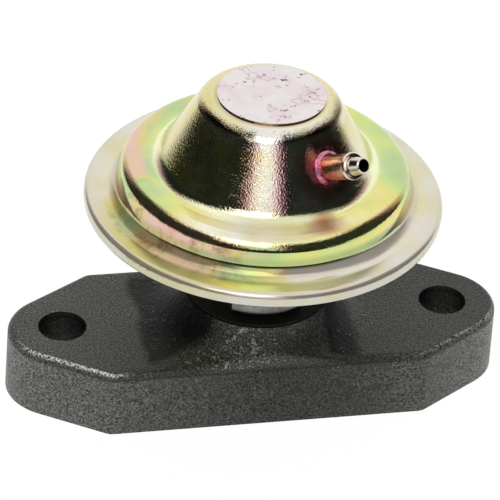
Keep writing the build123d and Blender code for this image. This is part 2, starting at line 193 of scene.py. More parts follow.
# painted shade on the two flanks of the boss, with a painted highlight of brighter specks on the foot between
# them at the front
ragged_x = sums(iron, "ADD", x, between(iron, broad, 0.3, 0.7, -0.0012, 0.0012))
slanted_y = sums(iron, "ADD", y, between(iron, x, -0.018, -0.025, 0.0, 0.0032))
left_flank = product(iron, between(iron, ragged_x, -0.0265, -0.0243), between(iron, x, -0.0098, -0.0122))
left_flank = product(iron, left_flank, between(iron, slanted_y, -0.0136, -0.0108))
right_flank = band(iron, x, 0.0118, 0.0138, 0.0188, 0.0214)
right_flank = product(iron, right_flank, between(iron, y, -0.0182, -0.0166))
flanks = sums(iron, "MAXIMUM", left_flank, right_flank)
# painted shade: the flanks of the boss darkened under the cover
painted_flank_shade = product(iron, flanks, between(iron, y, 0.018, 0.014), on_top)
painted_flank_shade = sums(iron, "ADD", painted_flank_shade, between(iron, coarse, 0.3, 0.7, -0.15, 0.15))
skin = over(iron, between(iron, painted_flank_shade, 0.1, 0.9, 0.0, 0.9), skin, colour("0b0c0b"))
# painted highlight: more bright specks on the boss's foot at the front
foot_highlight = product(iron, between(iron, y, -0.0125, -0.0145), between(iron, x, 0.006, -0.004))
foot_highlight = product(iron, foot_highlight, on_top, between(iron, radius, 0.027, 0.024))
specks = sums(iron, "ADD", sums(iron, "ADD", fine, coarse), product(iron, foot_highlight, 0.13))
specks = product(iron, between(iron, specks, 1.22, 1.34), between(iron, foot_highlight, 0.0, 1.0, 0.45, 1.0))
skin = over(iron, specks, skin, colour("a4a49c"))
# the upper edge is worn, with a painted highlight on it: strong at the front left and weaker at the front
# right
edge = band(iron, z, 0.0145, 0.0149, 0.01508, 0.01518)
left_edge_highlight = band(iron, x, -0.0535, -0.05, -0.034, -0.029)
edge_highlight = sums(iron, "MAXIMUM", left_edge_highlight, between(iron, x, 0.03, 0.038, 0.0, 0.35))
edge_highlight = product(iron, edge_highlight, edge, between(iron, y, -0.003, -0.006), between(iron, fine, 0.42, 0.56))
skin = over(iron, edge_highlight, skin, colour("f4f2e6"))
# painted shade: a thin dark line just below the upper edge
shade_below_edge = product(iron, band(iron, z, 0.0134, 0.0138, 0.0141, 0.0144), 0.45)
skin = over(iron, shade_below_edge, skin, colour("121210"))
coat(iron, Base_Color=skin, Roughness=between(iron, fine, 0.3, 0.7, 0.5, 0.36))
coat(iron, Normal=relief(iron, sums(iron, "ADD", fine, coarse), 0.00022))
dress("base_casting", iron)

# ---- valve seat and pintle ------------------------------------------------------------------
# Turned steel: the seat ring is pressed into the chamber, and the pintle is swaged onto the
# stem and closes on the ring's chamfer. Both carry fine turning marks and a straw heat tint.
turned = new_finish("turned_steel", Metallic=1.0)
at = place_on(turned)
CUTS_PER_METRE = 22000.0
feed = sums(turned, "ADD", axes_of(turned, at)[2], reach(turned, at))
rings = sums(turned, "SINE", product(turned, feed, CUTS_PER_METRE))
steel = over(turned, grain(turned, at, 300, 2.0), colour("8d877c"), colour("b3ab9b"))
coat(turned, Base_Color=steel, Roughness=between(turned, grain(turned, at, 900), 0.3, 0.7, 0.28, 0.45))
coat(turned, Normal=relief(turned, rings, 0.000004))
dress("seat_insert", turned)
dress("pintle", turned)

# ---- stem and washer ------------------------------------------------------------------------
# Centreless-ground rod with an upset shoulder under the plates; its spigot goes through plates,
# diaphragm and washer and is peened over them.
ground = new_finish("ground_steel", Metallic=1.0)
at = place_on(ground)
lines = put(ground, "Mapping", {"Vector": at, "Scale": (1.0, 1.0, 40.0)})
streaks = grain(ground, lines, 700, 2.0)
coat(ground, Base_Color=over(ground, streaks, colour("9a9a98"), colour("c4c4c0")))
coat(ground, Roughness=between(ground, streaks, 0.3, 0.7, 0.18, 0.32))
coat(ground, Normal=relief(ground, streaks, 0.000004))
dress("stem", ground)
dress("stem_washer", ground)

# ---- stem bush, seal and retainer -----------------------------------------------------------
# Sintered bronze bush in the casting's roof, a square graphite ring on it, and the drawn cap
# that is pressed over the ring.
sintered = new_finish("sintered_bronze", Metallic=0.9)
at = place_on(sintered)
pores = grain(sintered, at, 2600, 3.0, 0.7)
bronze = over(sintered, between(sintered, pores, 0.35, 0.65), colour("5a4022"), colour("a87e42"))
coat(sintered, Base_Color=bronze, Roughness=between(sintered, pores, 0.3, 0.7, 0.6, 0.4))
coat(sintered, Normal=relief(sintered, pores, 0.00002))
dress("stem_bush", sintered)
carbon = new_finish("graphite_ring", Metallic=0.1)
at = place_on(carbon)
flakes = grain(carbon, at, 1800, 3.0)
coat(carbon, Base_Color=over(carbon, flakes, colour("222224"), colour("3c3c40")))
coat(carbon, Roughness=between(carbon, flakes, 0.3, 0.7, 0.6, 0.42), Normal=relief(carbon, flakes, 0.00002))
dress("stem_seal", carbon)
drawn = new_finish("drawn_steel", Metallic=1.0)
at = place_on(drawn)
scuffs = grain(drawn, at, 1200, 4.0, 0.6)
coat(drawn, Base_Color=over(drawn, scuffs, colour("8c8c88"), colour("bcbcb8")))
coat(drawn, Roughness=between(drawn, scuffs, 0.3, 0.7, 0.3, 0.45), Normal=relief(drawn, scuffs, 0.000008))
dress("seal_retainer", drawn)

# ---- insulating gasket ----------------------------------------------------------------------
# Black fibre washer between the boss and the bracket. It keeps the heat of the casting from the
# diaphragm, and its edge shows as a dark line.
fibre = new_finish("fibre_gasket", Specular_IOR_Level=0.25)
at = place_on(fibre)
threads = grain(fibre, at, 1500, 4.0, 0.7)
coat(fibre, Base_Color=over(fibre, threads, colour("0c0d0c"), colour("242622")))
coat(fibre, Roughness=between(fibre, threads, 0.3, 0.7, 0.85, 0.65), Normal=relief(fibre, threads, 0.00004))
dress("insulator_gasket", fibre)

# ---- bracket --------------------------------------------------------------------------------
# Steel pressing in a satin plate: a sleeve with two windows, so that two legs carry the housing.
# Draw lines run down the legs.
pressed = new_finish("satin_pressed_steel", Metallic=1.0)
at = place_on(pressed)
draw = put(pressed, "Mapping", {"Vector": at, "Scale": (1.0, 1.0, 0.06)})
draw_lines = grain(pressed, draw, 1400, 3.0)
mottle = grain(pressed, at, 500, 3.0)
plate = over(pressed, draw_lines, colour("7e7f7a"), colour("a9aaa4"))
plate = over(pressed, between(pressed, mottle, 0.4, 0.7, 0.0, 0.5), plate, colour("6c6d66"))
coat(pressed, Base_Color=plate, Roughness=between(pressed, mottle, 0.3, 0.7, 0.34, 0.5))
coat(pressed, Normal=relief(pressed, draw_lines, 0.00001))
dress("bracket", pressed)

# ---- rivets ---------------------------------------------------------------------------------
# Four drive rivets hold the bracket's foot to the boss, and four longer ones, headed on both
# sides, hold the lower shell on the bracket's flange. All are plated steel with domed heads.


def new_tree(name, **inputs):
    """A geometry tree with one named input for each size."""
    tree = bpy.data.node_groups.new(name, "GeometryNodeTree")
    tree.interface.new_socket(name="Geometry", in_out="INPUT", socket_type="NodeSocketGeometry")
    for label, kind in inputs.items():
        label = label.replace("_", " ")
        tree.interface.new_socket(name=label, in_out="INPUT", socket_type="NodeSocket" + kind)
    tree.interface.new_socket(name="Geometry", in_out="OUTPUT", socket_type="NodeSocketGeometry")
    sizes = tree.nodes.new("NodeGroupInput").outputs
    return tree, sizes


def grow(tree, kind, feeds, **settings):
    """Adds a node; each feed is a value or another node's output."""
    node = tree.nodes.new(kind)
    for name, value in settings.items():
        setattr(node, name, value)
    for socket, value in feeds.items():
        for one in value if isinstance(value, list) else [value]:
            if isinstance(one, bpy.types.NodeSocket):
                tree.links.new(one, node.inputs[socket])
            else:
                node.inputs[socket].default_value = one
    return node.outputs[0]


def reckon(tree, how, first, second=0.0):
    """One step of arithmetic in a geometry tree."""
    return grow(tree, "ShaderNodeMath", {0: first, 1: second}, operation=how)


def spot(tree, x=0.0, y=0.0, z=0.0):
    return grow(tree, "ShaderNodeCombineXYZ", {0: x, 1: y, 2: z})


def round_axis(tree, bearing, radius, z):
    """The place at this bearing and radius round the axis."""
    x = reckon(tree, "MULTIPLY", reckon(tree, "COSINE", bearing), radius)
    y = reckon(tree, "MULTIPLY", reckon(tree, "SINE", bearing), radius)
    return spot(tree, x, y, z)


def close_tree(tree, shape, finish):
    """Realize Instances and Set Material end every tree."""
    solid = grow(tree, "GeometryNodeRealizeInstances", {0: shape})
    solid = grow(tree, "GeometryNodeSetMaterial", {"Geometry": solid, "Material": finish})
    tree.links.new(solid, tree.nodes.new("NodeGroupOutput").inputs[0])


def grown(name, tree, body, **sizes):
    """Runs the tree with these sizes and keeps the result as a plain mesh on a body."""
    piece = bpy.data.objects.new(name, bpy.data.meshes.new(name))
    bpy.context.scene.collection.objects.link(piece)
    shape = piece.modifiers.new("shape", "NODES")
    shape.node_group = tree
    for socket in tree.interface.items_tree:
        if socket.in_out == "INPUT" and socket.name.replace(" ", "_") in sizes:
            shape[socket.identifier] = sizes[socket.name.replace(" ", "_")]
    evaluated = piece.evaluated_get(bpy.context.evaluated_depsgraph_get())
    made = bpy.data.meshes.new_from_object(evaluated)
    piece.modifiers.remove(shape)
    piece.data = made
    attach(piece, body)
    return piece


riveted = new_finish("headed_rivet_steel", Metallic=1.0)
at = place_on(riveted)
dents = grain(riveted, at, 1600, 3.0, 0.6)
plated = over(riveted, between(riveted, dents, 0.35, 0.65), colour("8f8d84"), colour("c9c7bd"))
coat(riveted, Base_Color=plated)
coat(riveted, Roughness=between(riveted, dents, 0.3, 0.7, 0.26, 0.42), Normal=relief(riveted, dents, 0.00003))
rivets, size = new_tree("rivet_ring", First_Angle="Float", Spread="Float", Ring_Radius="Float",
    Head_Radius="Float", Head_Height="Float", Seat="Float", Shank_Radius="Float", Shank_Length="Float",
    Headed_Below="Bool")
ball = grow(rivets, "GeometryNodeMeshUVSphere", {"Segments": 32, "Rings": 16, "Radius": size["Head Radius"]})
squeeze = spot(rivets, 1.0, 1.0, reckon(rivets, "DIVIDE", size["Head Height"], size["Head Radius"]))
ball = grow(rivets, "GeometryNodeTransform", {"Geometry": ball, "Scale": squeeze})
where = grow(rivets, "GeometryNodeInputPosition", {})
bx, by, bz = grow(rivets, "ShaderNodeSeparateXYZ", {0: where}).node.outputs
cut_flat = spot(rivets, bx, by, reckon(rivets, "MAXIMUM", bz, 0.0))
dome = grow(rivets, "GeometryNodeSetPosition", {"Geometry": ball, "Position": cut_flat})
dome = grow(rivets, "GeometryNodeSetShadeSmooth", {"Geometry": dome, "Shade Smooth": True})
down = spot(rivets, z=reckon(rivets, "MULTIPLY", size["Shank Length"], -1.0))
under_dome = grow(rivets, "GeometryNodeTransform", {
    "Geometry": dome, "Rotation": (pi, 0, 0), "Translation": down})
under_dome = grow(rivets, "GeometryNodeSwitch", {"Switch": size["Headed Below"], "True": under_dome})
shank = grow(rivets, "GeometryNodeMeshCylinder", {
    "Vertices": 32, "Radius": size["Shank Radius"], "Depth": size["Shank Length"]})
half_down = spot(rivets, z=reckon(rivets, "MULTIPLY", size["Shank Length"], -0.5))
shank = grow(rivets, "GeometryNodeTransform", {"Geometry": shank, "Translation": half_down})
one_rivet = grow(rivets, "GeometryNodeJoinGeometry", {0: [dome, under_dome, shank]})
# the four stand in two opposite pairs, the two of a pair Spread apart
count = grow(rivets, "GeometryNodeInputIndex", {})
pair = reckon(rivets, "FLOOR", reckon(rivets, "DIVIDE", count, 2.0))
second = reckon(rivets, "MODULO", count, 2.0)
in_pair = reckon(rivets, "MULTIPLY", second, size["Spread"])
turned_by = reckon(rivets, "ADD", reckon(rivets, "MULTIPLY", pair, pi), in_pair)
bearing = reckon(rivets, "ADD", size["First Angle"], turned_by)
seats = round_axis(rivets, bearing, size["Ring Radius"], size["Seat"])
spots = grow(rivets, "GeometryNodePoints", {"Count": 4, "Position": seats})
ring = grow(rivets, "GeometryNodeInstanceOnPoints", {"Points": spots, "Instance": one_rivet})
close_tree(rivets, ring, riveted)
foot_rivets = grown("bracket_foot_rivets", rivets, "housing", First_Angle=radians(58), Spread=radians(64),
    Ring_Radius=0.008, Head_Radius=0.0017, Head_Height=0.001, Seat=0.0249, Shank_Radius=0.00123,
    Shank_Length=0.0063, Headed_Below=False)
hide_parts("bracket_rivets")
shell_rivet_ring = grown("shell_flange_rivets", rivets, "housing", First_Angle=0.0, Spread=pi / 2,
    Ring_Radius=0.0163, Head_Radius=0.0024, Head_Height=0.001, Seat=0.0378, Shank_Radius=0.00148,
    Shank_Length=0.002, Headed_Below=True)
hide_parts("shell_rivets")

# ---- diaphragm ------------------------------------------------------------------------------
# Black rubber on woven cloth: flat between the plates, one soft roll, and a rim held in the
# rolled hem. On the valve the middle moves with the stem; here the disc is one fixed mesh.
rubber = new_finish("rubbered_cloth", Specular_IOR_Level=0.35)
at = place_on(rubber)
THREADS = 9000.0
across = axes_of(rubber, at)
warp_threads = sums(rubber, "SINE", product(rubber, across[0], THREADS))
weft_threads = sums(rubber, "SINE", product(rubber, across[1], THREADS))
weave = sums(rubber, "MAXIMUM", warp_threads, weft_threads)
dust = grain(rubber, at, 300, 4.0, 0.6)
cloth = over(rubber, between(rubber, weave, -0.2, 1.0), colour("131313"), colour("2b2b2a"))
cloth = over(rubber, between(rubber, dust, 0.45, 0.75, 0.0, 0.35), cloth, colour("57544c"))
coat(rubber, Base_Color=cloth)
coat(rubber, Roughness=between(rubber, dust, 0.3, 0.7, 0.55, 0.75), Normal=relief(rubber, weave, 0.00002))
BORE_RADIUS = 0.00202
RIM_RADIUS = 0.0365
ROLL_START = 0.0206
ROLL_WIDTH = 0.0093
ROLL_SAG = 0.0005
ROLL_STEPS = 16
FLAT_HEIGHT = 0.0424
RIM_HEIGHT = 0.0462
CLOTH_THICKNESS = 0.0006
under_side = [(BORE_RADIUS, FLAT_HEIGHT), (0.012, FLAT_HEIGHT), (ROLL_START, FLAT_HEIGHT)]
for step in range(1, ROLL_STEPS):
    share = step / ROLL_STEPS
    swing = share * share * (3 - 2 * share)
    rise = (RIM_HEIGHT - FLAT_HEIGHT) * swing - ROLL_SAG * sin(2 * pi * share)
    under_side.append((ROLL_START + ROLL_WIDTH * share, FLAT_HEIGHT + rise))
under_side += [(0.0302, RIM_HEIGHT), (0.033, RIM_HEIGHT), (RIM_RADIUS, RIM_HEIGHT)]
skin_mesh = bmesh.new()
outline = under_side + [(r, z + CLOTH_THICKNESS) for r, z in reversed(under_side)]
loop = [skin_mesh.verts.new((r, 0, z)) for r, z in outline]
edges = [skin_mesh.edges.new((loop[i], loop[(i + 1) % len(loop)])) for i in range(len(loop))]
bmesh.ops.spin(skin_mesh, geom=loop + edges, cent=(0, 0, 0), axis=(0, 0, 1), angle=2 * pi, steps=96,
    use_merge=True)
bmesh.ops.remove_doubles(skin_mesh, verts=skin_mesh.verts, dist=0.00001)
bmesh.ops.recalc_face_normals(skin_mesh, faces=skin_mesh.faces)
for face in skin_mesh.faces:
    face.smooth = True
data = bpy.data.meshes.new("diaphragm_cloth")
skin_mesh.to_mesh(data)
skin_mesh.free()
cloth_disc = bpy.data.objects.new("diaphragm_cloth", data)
bpy.context.scene.collection.objects.link(cloth_disc)
data.materials.append(rubber)
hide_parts("diaphragm")
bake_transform(cloth_disc)

# ---- diaphragm plates -----------------------------------------------------------------------
# Two pressed dishes that clamp the middle of the diaphragm; their rims turn away from it.
dress("diaphragm_plate_lower", drawn)
dress("diaphragm_plate_upper", drawn)

# ---- return spring --------------------------------------------------------------------------
# Hard-drawn wire wound to four working turns, with a closed turn at each end ground flat. It
# stands on the upper plate and bears under the top of the cover; on the valve it shortens as the valve lifts,
# but here it is one fixed mesh on the housing.
wire_finish = new_finish("spring_wire", Metallic=1.0)
at = place_on(wire_finish)
scale = grain(wire_finish, at, 900, 4.0, 0.6)
drawn_wire = over(wire_finish, between(wire_finish, scale, 0.35, 0.65), colour("4c4a46"), colour("86837b"))
coat(wire_finish, Base_Color=drawn_wire)
coat(wire_finish, Roughness=between(wire_finish, scale, 0.3, 0.7, 0.28, 0.45))
coat(wire_finish, Normal=relief(wire_finish, scale, 0.00001))
coil, size = new_tree("closed_and_ground_spring", Wire_Radius="Float", Coil_Radius="Float", Foot="Float",
    Top="Float", Turns="Float", End_Pitch="Float", Ground_Off="Float")


def climb_over(start, stop, height):
    """Climbs by height while the wire turns from start to stop."""
    return grow(coil, "ShaderNodeMapRange", {
        "Value": turned_by, "From Min": start, "From Max": stop, "To Max": height})


around = reckon(coil, "ADD", size["Turns"], 2.0)
line = grow(coil, "GeometryNodeCurvePrimitiveLine", {"End": (0, 0, 1)})
line = grow(coil, "GeometryNodeResampleCurve", {"Curve": line, "Count": 433})
turned_by = reckon(coil, "MULTIPLY", grow(coil, "GeometryNodeSplineParameter", {}), around)
buried = reckon(coil, "SUBTRACT", size["Wire Radius"], size["Ground Off"])
first = reckon(coil, "ADD", size["Foot"], buried)
last = reckon(coil, "SUBTRACT", size["Top"], buried)
both_ends = reckon(coil, "MULTIPLY", size["End Pitch"], 2.0)
working = reckon(coil, "SUBTRACT", reckon(coil, "SUBTRACT", last, first), both_ends)
before_last = reckon(coil, "SUBTRACT", around, 1.0)
climb = climb_over(0.0, 1.0, size["End Pitch"])
climb = reckon(coil, "ADD", climb, climb_over(1.0, before_last, working))
climb = reckon(coil, "ADD", climb, climb_over(before_last, around, size["End Pitch"]))
bearing = reckon(coil, "MULTIPLY", turned_by, 2 * pi)
helix = round_axis(coil, bearing, size["Coil Radius"], reckon(coil, "ADD", first, climb))
line = grow(coil, "GeometryNodeSetPosition", {"Geometry": line, "Position": helix})
ring = grow(coil, "GeometryNodeCurvePrimitiveCircle", {"Resolution": 20, "Radius": size["Wire Radius"]})
wire = grow(coil, "GeometryNodeCurveToMesh", {"Curve": line, "Profile Curve": ring, "Fill Caps": True})
where = grow(coil, "GeometryNodeInputPosition", {})
wx, wy, wz = grow(coil, "ShaderNodeSeparateXYZ", {0: where}).node.outputs
flat = reckon(coil, "MAXIMUM", reckon(coil, "MINIMUM", wz, size["Top"]), size["Foot"])
wire = grow(coil, "GeometryNodeSetPosition", {"Geometry": wire, "Position": spot(coil, wx, wy, flat)})
wire = grow(coil, "GeometryNodeSetShadeSmooth", {"Geometry": wire, "Shade Smooth": True})
close_tree(coil, wire, wire_finish)
spring = grown("coil_spring", coil, "housing", Wire_Radius=0.001, Coil_Radius=0.0112, Foot=0.044, Top=0.06975,
    Turns=4.0, End_Pitch=0.0021, Ground_Off=0.0007)
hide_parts("return_spring")
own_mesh(spring)

# ---- cover and lower shell ------------------------------------------------------------------
# Deep-drawn steel in bright yellow zinc. The film is thin enough to show its colours, which
# drift round the cover and from ring to ring; the cover's hem is rolled under the lower shell.
# A turn counts once round the axis from 0 to 1, starting at -X, with the front at FRONT_TURN.
NIPPLE_ROOT = (0.00919, -0.01592, 0.06316)
FRONT_TURN = 0.21
LEFT_TURN = 0.12
FAR_LEFT_TURN = 0.98
FILM = ("f8f6ea", "f0e8b8", "e8e088", "cce090", "b8d098", "e0d090", "e8c0b8", "c89060", "888040")


def film_paint(finish, turn, wander, front, side, left, tone=1.0, left_turn=LEFT_TURN):
    """Colour of a zinc film that is front thick at the front and side thick at the sides and behind.

    Thickness runs from 0, pale, to 1, olive, and wander is added to it. Round left_turn it is
    thicker by left, and tone darkens it all.
    """
    off_front = sums(finish, "PINGPONG", sums(finish, "SUBTRACT", turn, FRONT_TURN), 0.5)
    off_left = sums(finish, "PINGPONG", sums(finish, "SUBTRACT", turn, left_turn), 0.5)
    thick = between(finish, off_front, 0.03, 0.26, front, side)
    thick = sums(finish, "ADD", thick, between(finish, off_left, 0.13, 0.04, 0.0, left))
    thick = sums(finish, "ADD", thick, wander)
    ramp = finish.node_tree.nodes.new("ShaderNodeValToRGB")
    stops = ramp.color_ramp.elements
    while len(stops) < len(FILM):
        stops.new(0.5)
    for step, stop in enumerate(stops):
        stop.position = step / (len(FILM) - 1)
    for code, stop in zip(FILM, stops):
        stop.color = colour(code)
    finish.node_tree.links.new(thick, ramp.inputs[0])
    return over(finish, 1.0, ramp.outputs[0], (tone, tone, tone, 1.0), "MULTIPLY")


zinc = new_finish("yellow_zinc_cover", Metallic=1.0)
at = place_on(zinc)
x, y, z = axes_of(zinc, at)
radius = off_axis(zinc, x, y)
drift = product(zinc, sums(zinc, "SUBTRACT", grain(zinc, at, 60, 3.0), 0.5), 0.05)
turn = product(zinc, sums(zinc, "ARCTAN2", y, x), 1 / (2 * pi))
turn = sums(zinc, "FRACT", sums(zinc, "ADD", sums(zinc, "ADD", turn, 0.5), drift))
# the bands of the cover, from the rim inwards and upwards, each laid where the last one ends
wander = between(zinc, grain(zinc, at, 75, 2.0, 0.5), 0.3, 0.7, -0.16, 0.16)
faint = product(zinc, wander, 0.4)
flange = film_paint(zinc, turn, faint, front=0.06, side=0.03, left=0.22, tone=0.87)
rim = film_paint(zinc, turn, faint, front=0.02, side=0.03, left=0.05, tone=0.84)
paint = over(zinc, between(zinc, radius, 0.0366, 0.0368), flange, rim)
wall_foot = film_paint(zinc, turn, faint, front=0.02, side=0.08, left=0.6, tone=0.92)
paint = over(zinc, between(zinc, radius, 0.0346, 0.0339), paint, wall_foot)
low_wall = film_paint(zinc, turn, wander, front=0.3, side=0.85, left=0.1, tone=0.72)
paint = over(zinc, between(zinc, z, 0.0494, 0.0501), paint, low_wall)
wall = film_paint(zinc, turn, wander, front=0.28, side=0.38, left=0.4, tone=0.97)
paint = over(zinc, between(zinc, z, 0.0508, 0.0519), paint, wall)
outer_shelf = film_paint(zinc, turn, wander, front=0.06, side=0.44, left=0.34, left_turn=FAR_LEFT_TURN)
paint = over(zinc, between(zinc, z, 0.0538, 0.0548), paint, outer_shelf)
inner_shelf = film_paint(zinc, turn, wander, front=0.1, side=0.42, left=0.1, left_turn=FAR_LEFT_TURN)
inside = product(zinc, between(zinc, radius, 0.0264, 0.0250), between(zinc, z, 0.0545, 0.0549))
paint = over(zinc, inside, paint, inner_shelf)
cone = film_paint(zinc, turn, faint, front=0.0, side=0.15, left=0.15, tone=0.92)
cone = over(zinc, between(zinc, z, 0.0615, 0.067), cone, colour("f8f4e2"), "MULTIPLY")
paint = over(zinc, between(zinc, z, 0.0559, 0.0572), paint, cone)
shoulder = film_paint(zinc, turn, faint, front=0.0, side=0.12, left=0.1, tone=0.9, left_turn=0.04)
paint = over(zinc, between(zinc, z, 0.0672, 0.0682), paint, shoulder)
# painted shade: the crown ring round the pad is darkened with tone 0.66
crown = film_paint(zinc, turn, faint, front=0.06, side=0.15, left=0.0, tone=0.66)
on_crown = between(zinc, z, 0.0685, 0.0689)
paint = over(zinc, product(zinc, between(zinc, radius, 0.0120, 0.0113), on_crown), paint, crown)
# a painted dark reflection in a flecked ring where the crown turns down, open in front where the reflection
# is bright
fleck = grain(zinc, at, 5200, 2.0, 0.6)
frayed = sums(zinc, "ADD", radius, product(zinc, sums(zinc, "SUBTRACT", fleck, 0.5), 0.006))
dark_reflection_ring = product(zinc, between(zinc, frayed, 0.0133, 0.0140), between(zinc, radius, 0.0151, 0.0145))
dark_reflection_ring = product(zinc, dark_reflection_ring, between(zinc, y, 0.001, -0.005), on_crown)
dark_reflection_ring = product(zinc, dark_reflection_ring, between(zinc, apart(zinc, turn, 0.214), 0.022, 0.036))
paint = over(zinc, dark_reflection_ring, paint, colour("26280f"))
cloud = grain(zinc, at, 180, 3.0, 0.6)
paint = over(zinc, between(zinc, cloud, 0.45, 0.75, 0.0, 0.15), paint, colour("d8c07c"))
paint = over(zinc, between(zinc, cloud, 0.5, 0.25, 0.0, 0.2), paint, colour("e4c4c8"))
# brown and rusty patches on the left of the wall and of the flange
patches = between(zinc, grain(zinc, at, 260, 4.0, 0.65), 0.5, 0.66, 0.0, 0.65)
patches = product(zinc, patches, between(zinc, apart(zinc, turn, 0.11), 0.11, 0.05))
patches = product(zinc, patches, between(zinc, z, 0.0545, 0.0535), between(zinc, radius, 0.0355, 0.034))
paint = over(zinc, patches, paint, colour("8c6a30"))
# the drawing die leaves a fine ring on the shelf and fine hairs where the cone meets it
on_shelf = band(zinc, z, 0.0546, 0.0550, 0.0560, 0.0566)
die_ring = between(zinc, apart(zinc, radius, 0.0241), 0.0002, 0.00008)
die_ring = product(zinc, die_ring, between(zinc, cloud, 0.4, 0.6, 0.25, 1.0), on_shelf, 0.2)
paint = over(zinc, die_ring, paint, colour("77784a"))
flat = put(zinc, "VectorMath", {0: at, 1: (1.0, 1.0, 0.0)}, operation="MULTIPLY")
spoke = put(zinc, "VectorMath", {0: flat}, operation="NORMALIZE")
hairs = between(zinc, grain(zinc, spoke, 130, 2.0, 0.6), 0.48, 0.62)
hairs = product(zinc, hairs, band(zinc, radius, 0.0206, 0.0214, 0.0236, 0.0246))
hairs = product(zinc, hairs, between(zinc, grain(zinc, at, 130), 0.42, 0.58), 0.4)
paint = over(zinc, hairs, paint, colour("3e4020"))
# a painted highlight: a bright ring where the cone runs out into the shelf
cone_foot_highlight = product(zinc, band(zinc, z, 0.0552, 0.0556, 0.0566, 0.0574), 0.85)
paint = over(zinc, cone_foot_highlight, paint, colour("fafcd0"))
# a painted dark reflection, speckled, on the shoulder below the pad
mottle = grain(zinc, at, 2600, 3.0, 0.6)
speckled_dark_reflection = product(zinc, between(zinc, mottle, 0.54, 0.66), between(zinc, z, 0.0672, 0.0692, 0.0, 0.3))
speckled_dark_reflection = product(zinc, speckled_dark_reflection, between(zinc, radius, 0.0120, 0.0130))
paint = over(zinc, speckled_dark_reflection, paint, colour("5c5030"))
# pad: a duller stamped face with dark pits and tide marks, and a painted dark reflection in a brown line on
# its side
pad_paint = over(zinc, between(zinc, cloud, 0.42, 0.7), colour("f6f0f0"), colour("f0dfe2"))
stain = grain(zinc, at, 260, 2.0)
tide = between(zinc, apart(zinc, stain, 0.66), 0.03, 0.008, 0.0, 0.45)
pad_paint = over(zinc, tide, pad_paint, colour("b07886"))
pad_paint = over(zinc, between(zinc, stain, 0.36, 0.3, 0.0, 0.5), pad_paint, colour("f6f0f0"))
pit_zone = between(zinc, grain(zinc, at, 200, 2.0), 0.42, 0.62, -0.08, 0.06)
pits = sums(zinc, "ADD", grain(zinc, at, 800, 4.0, 0.7), pit_zone)
pad_paint = over(zinc, between(zinc, pits, 0.645, 0.69), pad_paint, colour("5a1c2c"))
# painted dark reflection on the side of the pad
pad_side = band(zinc, z, 0.07066, 0.0707, 0.0709, 0.07094)
paint = over(zinc, pad_side, paint, colour("9a6034"))
pad_face = between(zinc, z, 0.0709, 0.07096)
paint = over(zinc, pad_face, paint, pad_paint)
# a heat-tinted halo surrounds the brazed nipple
from_nipple = reach(zinc, put(zinc, "VectorMath", {0: at, 1: NIPPLE_ROOT}, operation="SUBTRACT"))
ragged = between(zinc, grain(zinc, at, 900, 3.0, 0.7), 0.42, 0.6)
halo = product(zinc, between(zinc, from_nipple, 0.0047, 0.0037), ragged)
paint = over(zinc, between(zinc, from_nipple, 0.0085, 0.0055, 0.0, 0.7), paint, colour("a84460"))
paint = over(zinc, halo, paint, colour("c8246e"))
# where the coat is dull it reflects less: the satin flange and hem, the corners, haze and wear
satin = product(zinc, between(zinc, radius, 0.0312, 0.0322), between(zinc, z, 0.0494, 0.0488))
in_corner = band(zinc, z, 0.0478, 0.0481, 0.0493, 0.0499)
in_corner = product(zinc, in_corner, between(zinc, radius, 0.0350, 0.0336))
on_edge = product(zinc, between(zinc, radius, 0.0268, 0.0284), between(zinc, z, 0.0528, 0.0536))
dust = between(zinc, grain(zinc, at, 1900, 2.0, 0.6), 0.64, 0.7, 0.0, 0.1)
haze = sums(zinc, "ADD", between(zinc, cloud, 0.35, 0.7, 0.005, 0.035), dust)
worn_front = between(zinc, apart(zinc, turn, 0.22), 0.08, 0.035, 0.0, 0.6)
dull = product(zinc, satin, 0.42)
for patch in (product(zinc, halo, 0.35), product(zinc, in_corner, 0.6), product(zinc, pad_side, 0.7),
        product(zinc, pad_face, 0.42), product(zinc, haze, between(zinc, z, 0.0562, 0.057)),
        product(zinc, on_edge, between(zinc, fleck, 0.5, 0.66, 0.015, 0.16)),
        product(zinc, worn_front, on_shelf)):
    dull = sums(zinc, "MAXIMUM", dull, patch)
coat(zinc, Base_Color=paint, Metallic=sums(zinc, "SUBTRACT", 1.0, dull))
rough = between(zinc, mottle, 0.3, 0.7, 0.025, 0.06)
rubbed_patch = between(zinc, apart(zinc, turn, 0.3), 0.05, 0.02, 0.0, 0.3)
for patch in (product(zinc, rubbed_patch, on_shelf), product(zinc, pad_face, 0.3),
        product(zinc, satin, 0.14)):
    rough = sums(zinc, "ADD", rough, patch)
coat(zinc, Roughness=rough)
# orange peel on the cone and on the shelf's edge, and a crease low on the front of the cone
crease = between(zinc, apart(zinc, z, 0.06025), 0.00035, 0.0)
crease_end = sums(zinc, "SUBTRACT", y, product(zinc, cloud, 0.006))
crease = product(zinc, crease, between(zinc, crease_end, -0.021, -0.0225, 0.0, -1.2), 0.4)
on_cone = product(zinc, between(zinc, z, 0.0551, 0.0557, 0.2, 1.2), between(zinc, z, 0.0706, 0.0703))
orange_peel = product(zinc, grain(zinc, at, 2900, 1.0, 0.5), sums(zinc, "MAXIMUM", on_cone, on_edge))
coat(zinc, Normal=relief(zinc, sums(zinc, "ADD", orange_peel, crease), 0.00004))
dress("cover", zinc)
dress("lower_shell", zinc)

# ---- vacuum nipple and its braze ------------------------------------------------------------
# Turned spout in a copper-bright plate, paler from its bead outwards, brazed into the cone with a
# bead of pink copper.
NIPPLE_OUT = (0.42858, -0.74233, 0.51504)
NIPPLE_UP = (-0.25752, 0.44603, 0.85717)


def along(finish, place, way):
    """How far a place lies along a direction."""
    put(finish, "VectorMath", {0: place, 1: way}, operation="DOT_PRODUCT")
    return finish.node_tree.nodes[-1].outputs["Value"]


